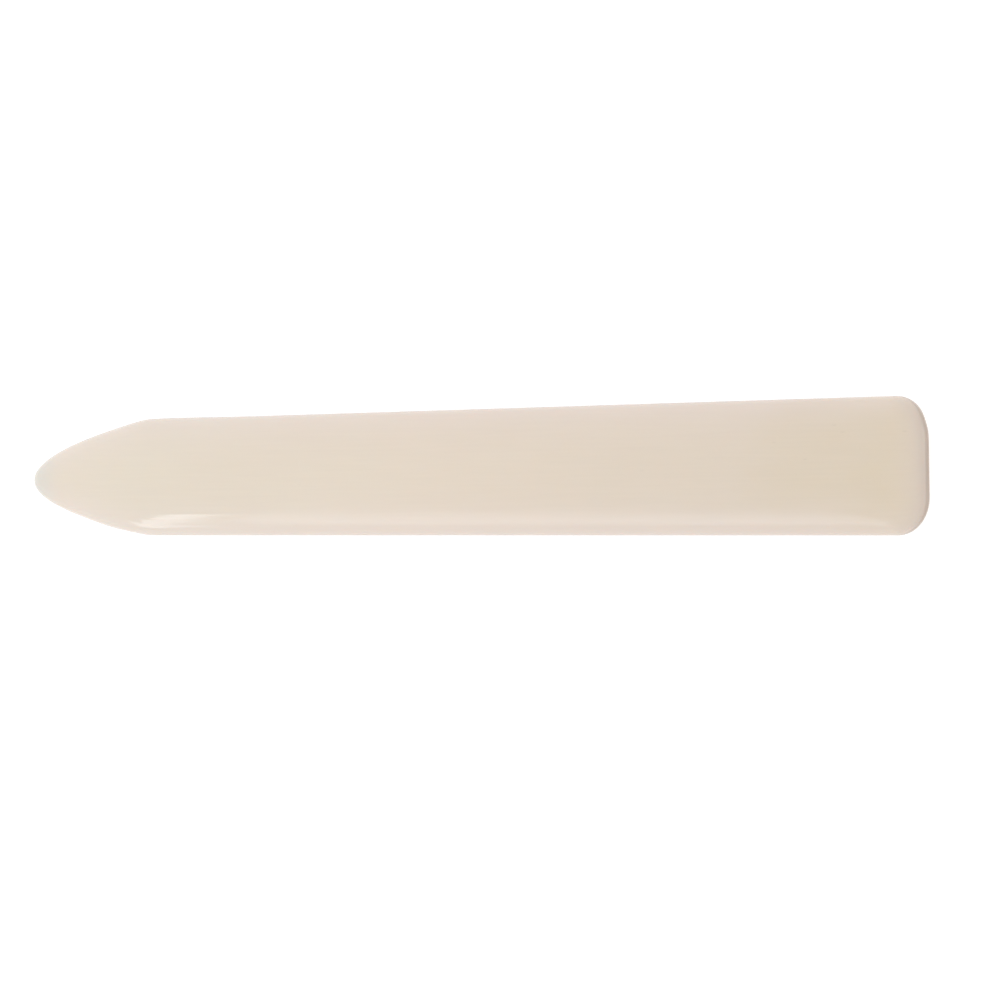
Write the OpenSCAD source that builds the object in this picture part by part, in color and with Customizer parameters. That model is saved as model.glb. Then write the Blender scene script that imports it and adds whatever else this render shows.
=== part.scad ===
// Bone folder: one flat blade of polished bone, with a leaf-shaped point at one end
// and a square heel with rounded corners at the other. Both faces are alike.
// It lies on Z = 0 along X, its point towards -X, and the origin is under its middle.

/* [Blade] */
// Length of the folder, from the tip of its point to its heel
folder_length = 205; // [150:1:260]
// Width across the heel, the widest place
heel_width = 24; // [18:0.5:36]
// Width at the shoulder, where the sides end and the point begins
shoulder_width = 21.4; // [14:0.1:30]
// Thickness between the two flat faces
thickness = 3.4; // [2.4:0.1:6]

/* [Point] */
// Length of the point, from its tip back to the shoulder
point_length = 29; // [20:0.5:60]
// Radius of the tip, seen from above
tip_radius = 2.5; // [1:0.1:4]
// Thickness at the tip, where both faces are ground down
tip_thickness = 1.6; // [1:0.1:2.4]

/* [Heel] */
// Radius of the heel's two corners, seen from above
corner_radius = 6.6; // [2:0.1:9]

/* [Rim] */
// Width of the rounded rim, from the outer edge in to the flat faces
rim_width = 5.5; // [2:0.1:8]
// Fullness of the rim: 2 is an ellipse, and more keeps its thickness nearer to the edge
rim_fullness = 2.5; // [2:0.1:4]

/* [Hidden] */
bone_colour = "#E6DBC8";
round_steps = 32;       // sides of each disc, a multiple of 4 so that it reaches its full radius
rim_steps = 6;          // facets from the middle of the edge to a flat face
point_steps = 12;       // gaps between the discs that are strung along the point
rim_share = 0.9;        // most of a disc's radius that its rim may take
tip_x = -folder_length / 2 + tip_radius;
shoulder_x = -folder_length / 2 + point_length;
corner_x = folder_length / 2 - corner_radius;
corner_y = heel_width / 2 - corner_radius;

function between(start, end, share) = start + (end - start) * share;

// Height or depth along the rim's superellipse, for a sine or a cosine
function fuller(part) = sign(part) * abs(part) ^ (2 / rim_fullness);

// Disc with a rounded rim, flat in the middle of both faces
module rimmed_disc(radius, height) {
    rim = min(rim_width, rim_share * radius);
    edge = [for (step = [-rim_steps:rim_steps])
        let (angle = 90 * step / rim_steps)
        [radius - rim * (1 - fuller(cos(angle))), height / 2 * fuller(sin(angle))]];
    rotate_extrude($fn = round_steps)
        polygon(concat([[0, -height / 2]], edge, [[0, height / 2]]));
}

// One disc of the point, from the tip at share 0 to the shoulder at share 1.
// Its radius squared grows evenly, so that the discs together touch two parabolas,
// and its height grows quickly at first and then levels out.
module point_disc(share) {
    radius = sqrt(between(tip_radius ^ 2, (shoulder_width / 2) ^ 2, share));
    height = between(tip_thickness, thickness, sin(90 * share));
    translate([between(tip_x, shoulder_x, share), 0, 0])
        rimmed_disc(radius, height);
}

// The blade's whole outer shape, about its middle plane
module blade() {
    hull() {
        for (i = [0:point_steps])
            point_disc(i / point_steps);
        for (side = [-1, 1])
            translate([corner_x, side * corner_y, 0])
                rimmed_disc(corner_radius, thickness);
    }
}

// The blade, planed between its two faces so that each is a single plane
module folder_body() {
    color(bone_colour)
    intersection() {
        translate([0, 0, thickness / 2])
            blade();
        translate([-folder_length, -heel_width, 0])
            cube([2 * folder_length, 2 * heel_width, thickness]);
    }
}

folder_body();
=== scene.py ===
import math

import bmesh
import bpy
import numpy as np
from mathutils import Matrix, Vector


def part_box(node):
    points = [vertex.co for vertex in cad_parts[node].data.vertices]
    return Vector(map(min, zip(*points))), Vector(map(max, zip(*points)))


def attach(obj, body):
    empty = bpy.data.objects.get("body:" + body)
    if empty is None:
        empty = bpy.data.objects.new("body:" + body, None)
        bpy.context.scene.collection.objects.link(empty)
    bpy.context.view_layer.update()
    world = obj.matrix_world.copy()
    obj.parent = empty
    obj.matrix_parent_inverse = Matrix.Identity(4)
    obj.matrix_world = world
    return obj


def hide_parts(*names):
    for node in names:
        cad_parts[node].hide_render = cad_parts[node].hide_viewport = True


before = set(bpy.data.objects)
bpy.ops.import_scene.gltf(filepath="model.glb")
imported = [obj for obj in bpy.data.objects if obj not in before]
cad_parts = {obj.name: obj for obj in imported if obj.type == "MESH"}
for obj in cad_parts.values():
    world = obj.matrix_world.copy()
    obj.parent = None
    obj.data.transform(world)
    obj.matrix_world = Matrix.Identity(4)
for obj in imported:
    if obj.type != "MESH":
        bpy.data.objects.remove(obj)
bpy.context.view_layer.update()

# ---------------------------------------------------------------------------------------
# The blade
# The whole tool is one blade of cattle leg bone, sawn lengthways out of the shaft, ground
# to a leaf-shaped point and a square heel, rounded over on every edge and buffed.
# ---------------------------------------------------------------------------------------

MM = 0.001

blade_low, blade_high = (np.array(corner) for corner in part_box("folder_body"))
blade_width, blade_thickness = (blade_high - blade_low)[1:]
blade_middle = (blade_low + blade_high) / 2

shoulder_radius = 21.4 / 2 * MM     # half the width where the sides end and the point begins
shoulder_softness = 0.1 * MM        # how much buffing took off the corner at the shoulder
point_length = 29 * MM
tip_radius = 2.5 * MM
tip_thickness = 1.6 * MM
corner_radius = 6.6 * MM            # of the heel's two corners, seen from above
rim_width = 5.5 * MM
rim_share = 0.9                     # most of the local radius that the rim may take
rim_fullness = 2.5                  # exponent of the rim's superellipse
rim_narrowing = 0.4                 # share of the sides' rim that is gone at the heel's corners
narrowing_start = 26 * MM           # from the heel's end, where the rim begins to narrow
narrowing_run = 18 * MM

tip_rows, string_rows, corner_rows, heel_rows = 17, 361, 29, 13     # along the outline
string_crowding = 1.4               # above 1 sets the string's places closer near the tip
rim_columns = 33                    # places round the rim, from face to face
flat_columns = 8                    # places across each flat face, on one side
seam_tolerance = 0.0005 * MM        # places closer than this are sewn into one

edge_reach = 3 * MM                 # where the nearness to the outline is down to a third
line_reach = math.radians(18)       # how far round the rim its greyed line fades

tip_x = blade_low[0] + tip_radius
shoulder_x = blade_low[0] + point_length
corner_x = blade_high[0] - corner_radius
corner_y = blade_width / 2 - corner_radius
heel_hub_x = blade_high[0] - blade_width / 2


def softer_least(one, other, softness):
    """The smaller of two arrays, with the change from one to the other rounded off."""
    return (one + other - np.sqrt((one - other) ** 2 + softness ** 2)) / 2


def half_outline():
    """Half of the blade's outline, from the tip round to the middle of the heel.

    Every place is centre + radius * (cos turn, sin turn). At the tip and the corner the
    centre stands still while the turn changes. Between them the centre runs along the
    middle line, and the outline is what a string of discs touches: where the radius grows
    by g for each step along the line, the discs' edge faces the way whose cosine is -g.
    On the point the radius squared grows evenly, which makes each flank a parabola.
    Returns centres, radii, turns, and where each place's inner end lies on the middle line.
    """
    side_slope = (blade_width / 2 - shoulder_radius) / (corner_x - shoulder_x)
    string_end = corner_x + corner_y * side_slope
    along = tip_x + (string_end - tip_x) * np.linspace(0, 1, string_rows) ** string_crowding
    growth = (shoulder_radius ** 2 - tip_radius ** 2) / (shoulder_x - tip_x)
    point = np.sqrt(tip_radius ** 2 + growth * (along - tip_x))
    side = shoulder_radius + side_slope * (along - shoulder_x)
    string = softer_least(point, side, shoulder_softness)
    string_turn = np.arccos(-np.gradient(string, along))

    tip_turn = np.linspace(math.pi, string_turn[0], tip_rows)[:-1]
    corner_turn = np.linspace(string_turn[-1], 0, corner_rows)[1:]
    heel_y = np.linspace(corner_y, 0, heel_rows)[1:]

    centre_x = np.concatenate([np.full(tip_turn.size, tip_x), along,
                               np.full(corner_turn.size + heel_y.size, corner_x)])
    centre_y = np.concatenate([np.zeros(tip_turn.size + along.size),
                               np.full(corner_turn.size, corner_y), heel_y])
    radius = np.concatenate([np.full(tip_turn.size, tip_radius), string,
                             np.full(corner_turn.size + heel_y.size, corner_radius)])
    turn = np.concatenate([tip_turn, string_turn, corner_turn, np.zeros(heel_y.size)])
    inner_x = np.minimum(centre_x, heel_hub_x)
    return centre_x, centre_y, radius, turn, inner_x


def fuller(part):
    """A sine or cosine bent so that together they trace the rim's superellipse."""
    return np.sign(part) * np.abs(part) ** (2 / rim_fullness)


def half_thickness(x):
    """Half the blade's thickness: a quarter sine from the tip to the shoulder, then level."""
    share = np.clip((x - blade_low[0]) / point_length, 0, 1)
    return (tip_thickness + (blade_thickness - tip_thickness) * np.sin(share * math.pi / 2)) / 2


def half_blade():
    """One side of the blade as a grid: rows follow the outline, and columns run from the
    middle line of the lower face, out and round the rim, to the middle line of the upper.

    On the rim a place is inset by width * (1 - fuller(cos a)) and stands fuller(sin a) of
    the half thickness away from the middle plane, for a from -90 to 90 degrees. Towards the
    heel the sides' rim loses rim_narrowing * near^2 * sin(turn)^2 of its width, where near
    rises from 0 to 1 over narrowing_run, and the sine is taken as 0 where it is negative.
    Returns the places and three shares for each. The nearness to the outline is
    exp(-distance / edge_reach), and sets where the rims' painted light goes. The painted
    edge shadow is 1 halfway up the rim and fades over line_reach. The painted heel shadow
    is the edge shadow times the root of cos(turn), so it is on the heel.
    """
    centre_x, centre_y, radius, turn, inner_x = half_outline()
    facing = np.stack([np.cos(turn), np.sin(turn)], axis=-1)
    edge = np.stack([centre_x, centre_y], axis=-1) + radius[:, None] * facing
    near = np.clip((edge[:, 0] - blade_high[0] + narrowing_start) / narrowing_run, 0, 1)
    beside = np.clip(np.sin(turn), 0, 1)
    narrowed = rim_width * (1 - rim_narrowing * near ** 2 * beside ** 2)
    rim = np.minimum(narrowed, rim_share * radius)
    angle = np.radians(np.linspace(-90, 90, rim_columns))
    inset = rim[:, None] * (1 - fuller(np.cos(angle)))
    ring = edge[:, None] - inset[..., None] * facing[:, None]

    inner = np.stack([inner_x, np.zeros(inner_x.size)], axis=-1)
    share = np.linspace(0, 1, flat_columns + 1)[1:, None]
    flat = ring[:, -1][:, None] * (1 - share) + inner[:, None] * share
    plan = np.concatenate([flat[:, ::-1], ring, flat], axis=1)
    flat_share = np.zeros(flat_columns)
    lift = np.concatenate([flat_share - 1, fuller(np.sin(angle)), flat_share + 1])
    z = blade_middle[2] + half_thickness(plan[..., 0]) * lift
    near_edge = np.exp(-np.linalg.norm(plan - edge[:, None], axis=-1) / edge_reach)
    halfway_up = np.clip(1 - (1 - np.cos(angle)) / (1 - math.cos(line_reach)), 0, 1)
    halfway_up = np.concatenate([flat_share, halfway_up, flat_share])
    rim_line = np.tile(halfway_up, (turn.size, 1))
    end_grain = rim_line * np.sqrt(np.clip(np.cos(turn), 0, 1))[:, None]
    return np.concatenate([plan, z[..., None]], axis=-1), near_edge, rim_line, end_grain


tip_drift = 0.2 * MM                # how far towards -Y the tip was ground
flank_fullness = 0.025              # how much wider the -Y side was left short of the shoulder
flank_middle, flank_spread = 19 * MM, 5.5 * MM
side_fullness = 0.012               # how much wider the +Y side was left beyond the shoulder
side_middle, side_spread = 34 * MM, 12 * MM
corner_ground = 0.3 * MM            # how much further the heel's +Y corner was ground back
corner_middle, corner_spread = 7.9 * MM, 2.2 * MM
corner_reach = 10 * MM


def bump(distance, spread):
    """Bell curve exp(-(distance / spread)^2): 1 in the middle, and falling off both ways."""
    return np.exp(-(distance / spread) ** 2)


def ground_aside(places):
    """Makes the two sides differ a little, as grinding by hand leaves them.

    y becomes y * (1 + fullness * bump) - tip_drift * left^2, with the flank's fullness on
    the -Y side and the side's on the +Y side. Left falls from 1 at the tip to 0 at the
    shoulder. At the heel x loses corner_ground * bump * near^2, where near falls from 1 at
    the heel's end to 0 at corner_reach from it.
    """
    x, y, z = places.T
    from_tip = x - blade_low[0]
    flank = flank_fullness * bump(from_tip - flank_middle, flank_spread)
    side = side_fullness * bump(from_tip - side_middle, side_spread)
    left = 1 - np.clip(from_tip / point_length, 0, 1)
    near = np.clip(1 - (blade_high[0] - x) / corner_reach, 0, 1)
    x = x - corner_ground * bump(y - corner_middle, corner_spread) * near ** 2
    y = y * (1 + np.where(y < 0, flank, side)) - tip_drift * left ** 2
    return np.stack([x, y, z], axis=-1)


def closed_from_half(name, half, **shares):
    """Mesh of a grid and its mirror image in Y, sewn together along the middle line.
    Every share is kept on the mesh as an attribute with one value for each place."""
    rows, columns = half.shape[:2]
    corner = np.arange(rows * columns).reshape(rows, columns)
    quads = np.stack([corner[:-1, :-1], corner[1:, :-1], corner[1:, 1:], corner[:-1, 1:]], -1)
    quads = quads.reshape(-1, 4)
    mirrored = half * np.array([1, -1, 1])
    places = ground_aside(np.concatenate([half.reshape(-1, 3), mirrored.reshape(-1, 3)]))
    faces = np.concatenate([quads, quads[:, ::-1] + rows * columns])

    mesh = bpy.data.meshes.new(name)
    mesh.from_pydata(places, [], faces)
    for key, values in shares.items():
        kept = mesh.attributes.new(key, "FLOAT", "POINT")
        kept.data.foreach_set("value", np.tile(values.ravel(), 2))
    sewn = bmesh.new()
    sewn.from_mesh(mesh)
    bmesh.ops.remove_doubles(sewn, verts=sewn.verts, dist=seam_tolerance)
    bmesh.ops.recalc_face_normals(sewn, faces=sewn.faces)
    sewn.to_mesh(mesh)
    sewn.free()
    mesh.polygons.foreach_set("use_smooth", np.ones(len(mesh.polygons), dtype=bool))
    piece = bpy.data.objects.new(name, mesh)
    bpy.context.scene.collection.objects.link(piece)
    return piece


def linear(colour):
    """Linear red, green, blue and alpha of an sRGB hex value such as "#E6DBC8"."""
    parts = np.array([int(colour[i:i + 2], 16) for i in (1, 3, 5)]) / 255
    parts = np.where(parts <= 0.04045, parts / 12.92, ((parts + 0.055) / 1.055) ** 2.4)
    return (*parts.tolist(), 1.0)


def add_node(owner, kind, inputs, **settings):
    """Adds a node with its settings. Each input is a plain value or another node's output."""
    made = owner.node_tree.nodes.new(kind)
    for name, value in settings.items():
        setattr(made, name, value)
    for name, value in inputs.items():
        if isinstance(value, bpy.types.NodeSocket):
            owner.node_tree.links.new(value, made.inputs[name])
        else:
            made.inputs[name].default_value = value
    return made


cloud_size = 9 * MM                 # across the blade
cloud_draw = 0.4                    # its width as a share of its length
cloud_strength = 0.2
fibre_length, fibre_width = 16 * MM, 0.5 * MM       # real ones are too fine to show
fibre_relief = 0.01 * MM
pore_cell_length, pore_cell_width = 6 * MM, 1.5 * MM
pore_rarity = 0.76                  # nearer to 1 leaves fewer cells with a pore
pore_darkness = 0.05
painted_rim_light = 0.35
painted_tip_light = 0.6
tip_light_reach = 8 * MM
edge_shadow_strength = 0.28
heel_shadow_strength = 0.36
scatter_depth = 2 * MM


def polished_bone():
    """Cattle leg bone, sanded fine and buffed: cream, close-grained and softly glossy, with
    a little light scattered under the surface."""
    bone = bpy.data.materials.new("polished_cattle_bone")
    bone.use_nodes = True
    bone.node_tree.nodes.clear()
    place = add_node(bone, "ShaderNodeTexCoord", {}).outputs["Object"]
    along = add_node(bone, "ShaderNodeSeparateXYZ", {"Vector": place}).outputs["X"]

    # The bone darkens a little from the tip to the heel, in faint clouds drawn out along it.
    cloud_place = add_node(bone, "ShaderNodeMapping", {
        "Vector": place, "Scale": (cloud_draw, 1.0, 1.0)})
    cloud = add_node(bone, "ShaderNodeTexNoise", {
        "Vector": cloud_place.outputs[0],
        "Scale": 1 / cloud_size, "Detail": 2.0, "Roughness": 0.4})
    towards_heel = add_node(bone, "ShaderNodeMapRange", {
        "Value": along,
        "From Min": blade_low[0], "From Max": blade_high[0],
        "To Min": -0.1, "To Max": 0.9})
    darkened = add_node(bone, "ShaderNodeMath", {
        0: cloud.outputs["Fac"], 1: cloud_strength, 2: towards_heel.outputs[0]},
        operation="MULTIPLY_ADD", use_clamp=True)
    cream = add_node(bone, "ShaderNodeValToRGB", {"Fac": darkened.outputs[0]})
    stops = cream.color_ramp.elements
    stops[0].position, stops[0].color = 0.10, linear("#EBE0CE")
    stops[1].position, stops[1].color = 0.95, linear("#E0D1BA")
    stops.new(0.45).color = linear("#E9DBC9")
    stops.new(0.82).color = linear("#E3D5C3")

    # Fibres run lengthways, and show as faint lighter and darker streaks.
    fibre_place = add_node(bone, "ShaderNodeMapping", {
        "Vector": place, "Scale": (1 / fibre_length, 1 / fibre_width, 1 / fibre_width)})
    fibre = add_node(bone, "ShaderNodeTexNoise", {
        "Vector": fibre_place.outputs[0], "Scale": 1.0, "Detail": 3.0, "Roughness": 0.55})
    fibre_shade = add_node(bone, "ShaderNodeMapRange", {
        "Value": fibre.outputs["Fac"],
        "From Min": 0.3, "From Max": 0.7, "To Min": 0.990, "To Max": 1.008})

    # The bone's blood vessels ran lengthways too. Where one comes to the surface it leaves a
    # faint pore, about 1 mm long and a quarter as wide. Only a few of the cells hold one.
    pore_place = add_node(bone, "ShaderNodeMapping", {
        "Vector": place,
        "Scale": (1 / pore_cell_length, 1 / pore_cell_width, 1 / pore_cell_width)})
    pore = add_node(bone, "ShaderNodeTexVoronoi", {
        "Vector": pore_place.outputs[0], "Scale": 1.0})
    within_pore = add_node(bone, "ShaderNodeMapRange", {
        "Value": pore.outputs["Distance"],
        "From Min": 0.05, "From Max": 0.13, "To Min": 1.0, "To Max": 0.0})
    holds_pore = add_node(bone, "ShaderNodeMath", {
        0: pore.outputs["Color"], 1: pore_rarity}, operation="GREATER_THAN")
    pore_shown = add_node(bone, "ShaderNodeMath", {
        0: within_pore.outputs[0], 1: holds_pore.outputs[0]}, operation="MULTIPLY")
    shade = add_node(bone, "ShaderNodeMath", {
        0: pore_shown.outputs[0], 1: -pore_darkness, 2: fibre_shade.outputs[0]},
        operation="MULTIPLY_ADD")
    grained = add_node(bone, "ShaderNodeVectorMath", {
        0: cream.outputs["Color"], "Scale": shade.outputs[0]}, operation="SCALE")

    # The rounded rims are painted a little paler and cooler near the outline: painted light
    # that stands for light shining through the thin bone. The tip, thinner still, is painted
    # greyer.
    near_edge = add_node(bone, "ShaderNodeAttribute", {}, attribute_name="near_edge")
    rim_light_share = add_node(bone, "ShaderNodeMath", {
        0: near_edge.outputs["Fac"], 1: painted_rim_light}, operation="MULTIPLY")
    rim_lit = add_node(bone, "ShaderNodeMix", {
        0: rim_light_share.outputs[0], 6: grained.outputs[0], 7: linear("#EEE1E6")},
        data_type="RGBA")
    # Painted light: the tip is painted greyer and cooler, for light shining through it.
    near_tip = add_node(bone, "ShaderNodeMapRange", {
        "Value": along,
        "From Min": blade_low[0], "From Max": blade_low[0] + tip_light_reach,
        "To Min": painted_tip_light, "To Max": 0.0}, interpolation_type="SMOOTHSTEP")
    tip_lit = add_node(bone, "ShaderNodeMix", {
        0: near_tip.outputs[0], 6: rim_lit.outputs[2], 7: linear("#DDDFD9")}, data_type="RGBA")

    # A painted shadow greys the rim's outermost line, halfway up the rim. At the heel,
    # where the bone is sawn across, a browner painted shade darkens that line further.
    rim_line = add_node(bone, "ShaderNodeAttribute", {}, attribute_name="rim_line")
    edge_shadow_share = add_node(bone, "ShaderNodeMath", {
        0: rim_line.outputs["Fac"], 1: edge_shadow_strength}, operation="MULTIPLY")
    edge_shadowed = add_node(bone, "ShaderNodeMix", {
        0: edge_shadow_share.outputs[0], 6: tip_lit.outputs[2], 7: linear("#9C979E")}, data_type="RGBA")
    # Painted shade: the heel's edge is darkened brown, standing for shade on the end wall.
    end_grain = add_node(bone, "ShaderNodeAttribute", {}, attribute_name="end_grain")
    heel_shadow_share = add_node(bone, "ShaderNodeMath", {
        0: end_grain.outputs["Fac"], 1: heel_shadow_strength}, operation="MULTIPLY")
    heel_shadowed = add_node(bone, "ShaderNodeMix", {
        0: heel_shadow_share.outputs[0], 6: edge_shadowed.outputs[2], 7: linear("#A88A66")}, data_type="RGBA")

    relief = add_node(bone, "ShaderNodeBump", {
        "Height": fibre.outputs["Fac"], "Strength": 0.1, "Distance": fibre_relief})
    buffed = add_node(bone, "ShaderNodeMapRange", {
        "Value": fibre.outputs["Fac"], "To Min": 0.04, "To Max": 0.06})
    shader = add_node(bone, "ShaderNodeBsdfPrincipled", {
        "Base Color": heel_shadowed.outputs[2],
        "Roughness": buffed.outputs[0],
        "Normal": relief.outputs[0],
        "IOR": 1.55,
        "Subsurface Weight": 0.2,
        "Subsurface Radius": (1.0, 0.75, 0.5),
        "Subsurface Scale": scatter_depth,
    })
    add_node(bone, "ShaderNodeOutputMaterial", {"Surface": shader.outputs[0]})
    return bone


half_grid, half_near_edge, half_rim_line, half_end_grain = half_blade()
blade = closed_from_half(
    "bone_blade", half_grid,
    near_edge=half_near_edge, rim_line=half_rim_line, end_grain=half_end_grain)
blade.data.materials.append(polished_bone())
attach(blade, "root")
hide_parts("folder_body")

# ---------------------------------------------------------------------------------------
# The table
# A large sheet of opal acrylic, lit from behind so brightly that the blade's shadow on it
# is lost in white. It isn't part of the tool, and lies a hair below it.
# ---------------------------------------------------------------------------------------

table_reach = 6.0
table_gap = 0.02 * MM
table_mesh = bpy.data.meshes.new("white_table")
table_mesh.from_pydata(
    [(x * table_reach, y * table_reach, blade_low[2] - table_gap)
     for x, y in ((-1, -1), (1, -1), (1, 1), (-1, 1))],
    [], [(0, 1, 2, 3)])
table = bpy.data.objects.new("white_table", table_mesh)
bpy.context.scene.collection.objects.link(table)

# Opal acrylic with a matt face: an even white that mirrors nothing.
acrylic = bpy.data.materials.new("white_acrylic")
acrylic.use_nodes = True
acrylic.node_tree.nodes.clear()
lit_sheet = add_node(acrylic, "ShaderNodeBsdfPrincipled", {
    "Base Color": linear("#A0A0A0"), "Roughness": 0.6,
    "Emission Color": linear("#FFFFFF"), "Emission Strength": 0.78})
add_node(acrylic, "ShaderNodeOutputMaterial", {"Surface": lit_sheet.outputs[0]})
table_mesh.materials.append(acrylic)

# ---------------------------------------------------------------------------------------
# Light and camera
# A pale room, brighter towards -X, where a window and a wide softbox hang overhead and
# show in the blade's polished rim. A weak softbox faces the heel. The camera stands beyond
# the heel and looks down along the blade.
# ---------------------------------------------------------------------------------------

# The table sweeps up into the walls, so at the horizon they are as white as it is.
studio = bpy.data.worlds.new("studio")
studio.use_nodes = True
studio.node_tree.nodes.clear()
facing = add_node(studio, "ShaderNodeTexCoord", {}).outputs["Generated"]
towards = add_node(studio, "ShaderNodeSeparateXYZ", {"Vector": facing}).outputs
wall_light = add_node(studio, "ShaderNodeMapRange", {
    "Value": towards["X"], "From Min": -0.3, "From Max": 0.9, "To Min": 1.144, "To Max": 0.312},
    interpolation_type="SMOOTHSTEP")
table_sweep = add_node(studio, "ShaderNodeMapRange", {
    "Value": towards["Z"], "From Min": 0.02, "From Max": 0.06, "To Min": 1.1, "To Max": 0.0})
wall_or_sweep = add_node(studio, "ShaderNodeMath", {
    0: wall_light.outputs[0], 1: table_sweep.outputs[0]}, operation="MAXIMUM")
walls = add_node(studio, "ShaderNodeBackground", {
    "Color": linear("#FFFFFF"), "Strength": wall_or_sweep.outputs[0]})
add_node(studio, "ShaderNodeOutputWorld", {"Surface": walls.outputs[0]})
bpy.context.scene.world = studio


def softbox(name, place, size, brightness, lean=0, turn=0, colour=(1.0, 1.0, 1.0)):
    """Flat rectangular light that faces down, leans towards +X and turns about Z, both in
    degrees. Its brightness is how bright it looks, 1 being white."""
    lamp = bpy.data.lights.new(name, "AREA")
    lamp.shape = "RECTANGLE"
    lamp.size, lamp.size_y = size
    lamp.energy = brightness * math.pi * size[0] * size[1]
    lamp.color = colour
    holder = bpy.data.objects.new(name, lamp)
    holder.location = place
    holder.rotation_euler = (0, math.radians(-lean), math.radians(turn))
    bpy.context.scene.collection.objects.link(holder)
    return lamp


# The window is in three strips, each wider than the last towards -Y.
daylight = (0.88, 0.92, 1.0)        # linear red, green and blue
softbox("window_top", (-0.902, -0.170, 0.95), (0.02, 0.13), 3.6, turn=-14, colour=daylight)
softbox("window_middle", (-0.984, -0.335, 0.95), (0.085, 0.22), 2.6, turn=-21, colour=daylight)
softbox("window_end", (-1.103, -0.520, 0.95), (0.18, 0.24), 2.4, turn=-32, colour=daylight)

# The side softbox's cloth is brightest near its middle. It dims to half at one end and to
# almost nothing at the other.
side_softbox = softbox(
    "side_softbox", (-0.757, -0.243, 0.95), (0.257, 0.46), 1.15, turn=-12, colour=daylight)
side_softbox.use_nodes = True
side_softbox.node_tree.nodes.clear()
across = add_node(side_softbox, "ShaderNodeNewGeometry", {}).outputs["Parametric"]
across_y = add_node(side_softbox, "ShaderNodeSeparateXYZ", {"Vector": across}).outputs["Y"]
fade = add_node(side_softbox, "ShaderNodeValToRGB", {"Fac": across_y})
fade_stops = fade.color_ramp.elements
fade_stops[0].position, fade_stops[0].color = 0.05, (0.5, 0.5, 0.5, 1.0)
fade_stops[1].position, fade_stops[1].color = 0.93, (0.05, 0.05, 0.05, 1.0)
fade_stops.new(0.42).color = (1.0, 1.0, 1.0, 1.0)
fade_stops.new(0.80).color = (0.55, 0.55, 0.55, 1.0)
cloth = add_node(side_softbox, "ShaderNodeEmission", {"Strength": fade.outputs[0]})
add_node(side_softbox, "ShaderNodeOutputLight", {"Surface": cloth.outputs[0]})
softbox("right_softbox", (1.3, 0.0, 0.7), (1.0, 1.4), 0.5, lean=-62)

camera_tilt = math.radians(38.72)   # away from straight above, towards the heel
camera_roll = math.radians(-0.746)
camera_distance = 1.5
aim_aside = np.array([7.245, -5.09, 0]) * MM
back = np.array([math.sin(camera_tilt), 0, math.cos(camera_tilt)])
flat_right = np.array([math.cos(camera_tilt), 0, -math.sin(camera_tilt)])
flat_up = np.array([0, 1, 0])
right = math.cos(camera_roll) * flat_right + math.sin(camera_roll) * flat_up
up = np.cross(back, right)
aim = blade_middle * [1, 1, 0] + aim_aside
lens = bpy.data.cameras.new("camera")
lens.lens = 302.4
lens.sensor_width = 36
camera = bpy.data.objects.new("camera", lens)
stand = np.eye(4)
stand[:3, :4] = np.stack([right, up, back, aim + camera_distance * back], axis=-1)
camera.matrix_world = Matrix(stand)
bpy.context.scene.collection.objects.link(camera)
bpy.context.scene.camera = camera
bpy.context.scene.view_settings.view_transform = "Standard"
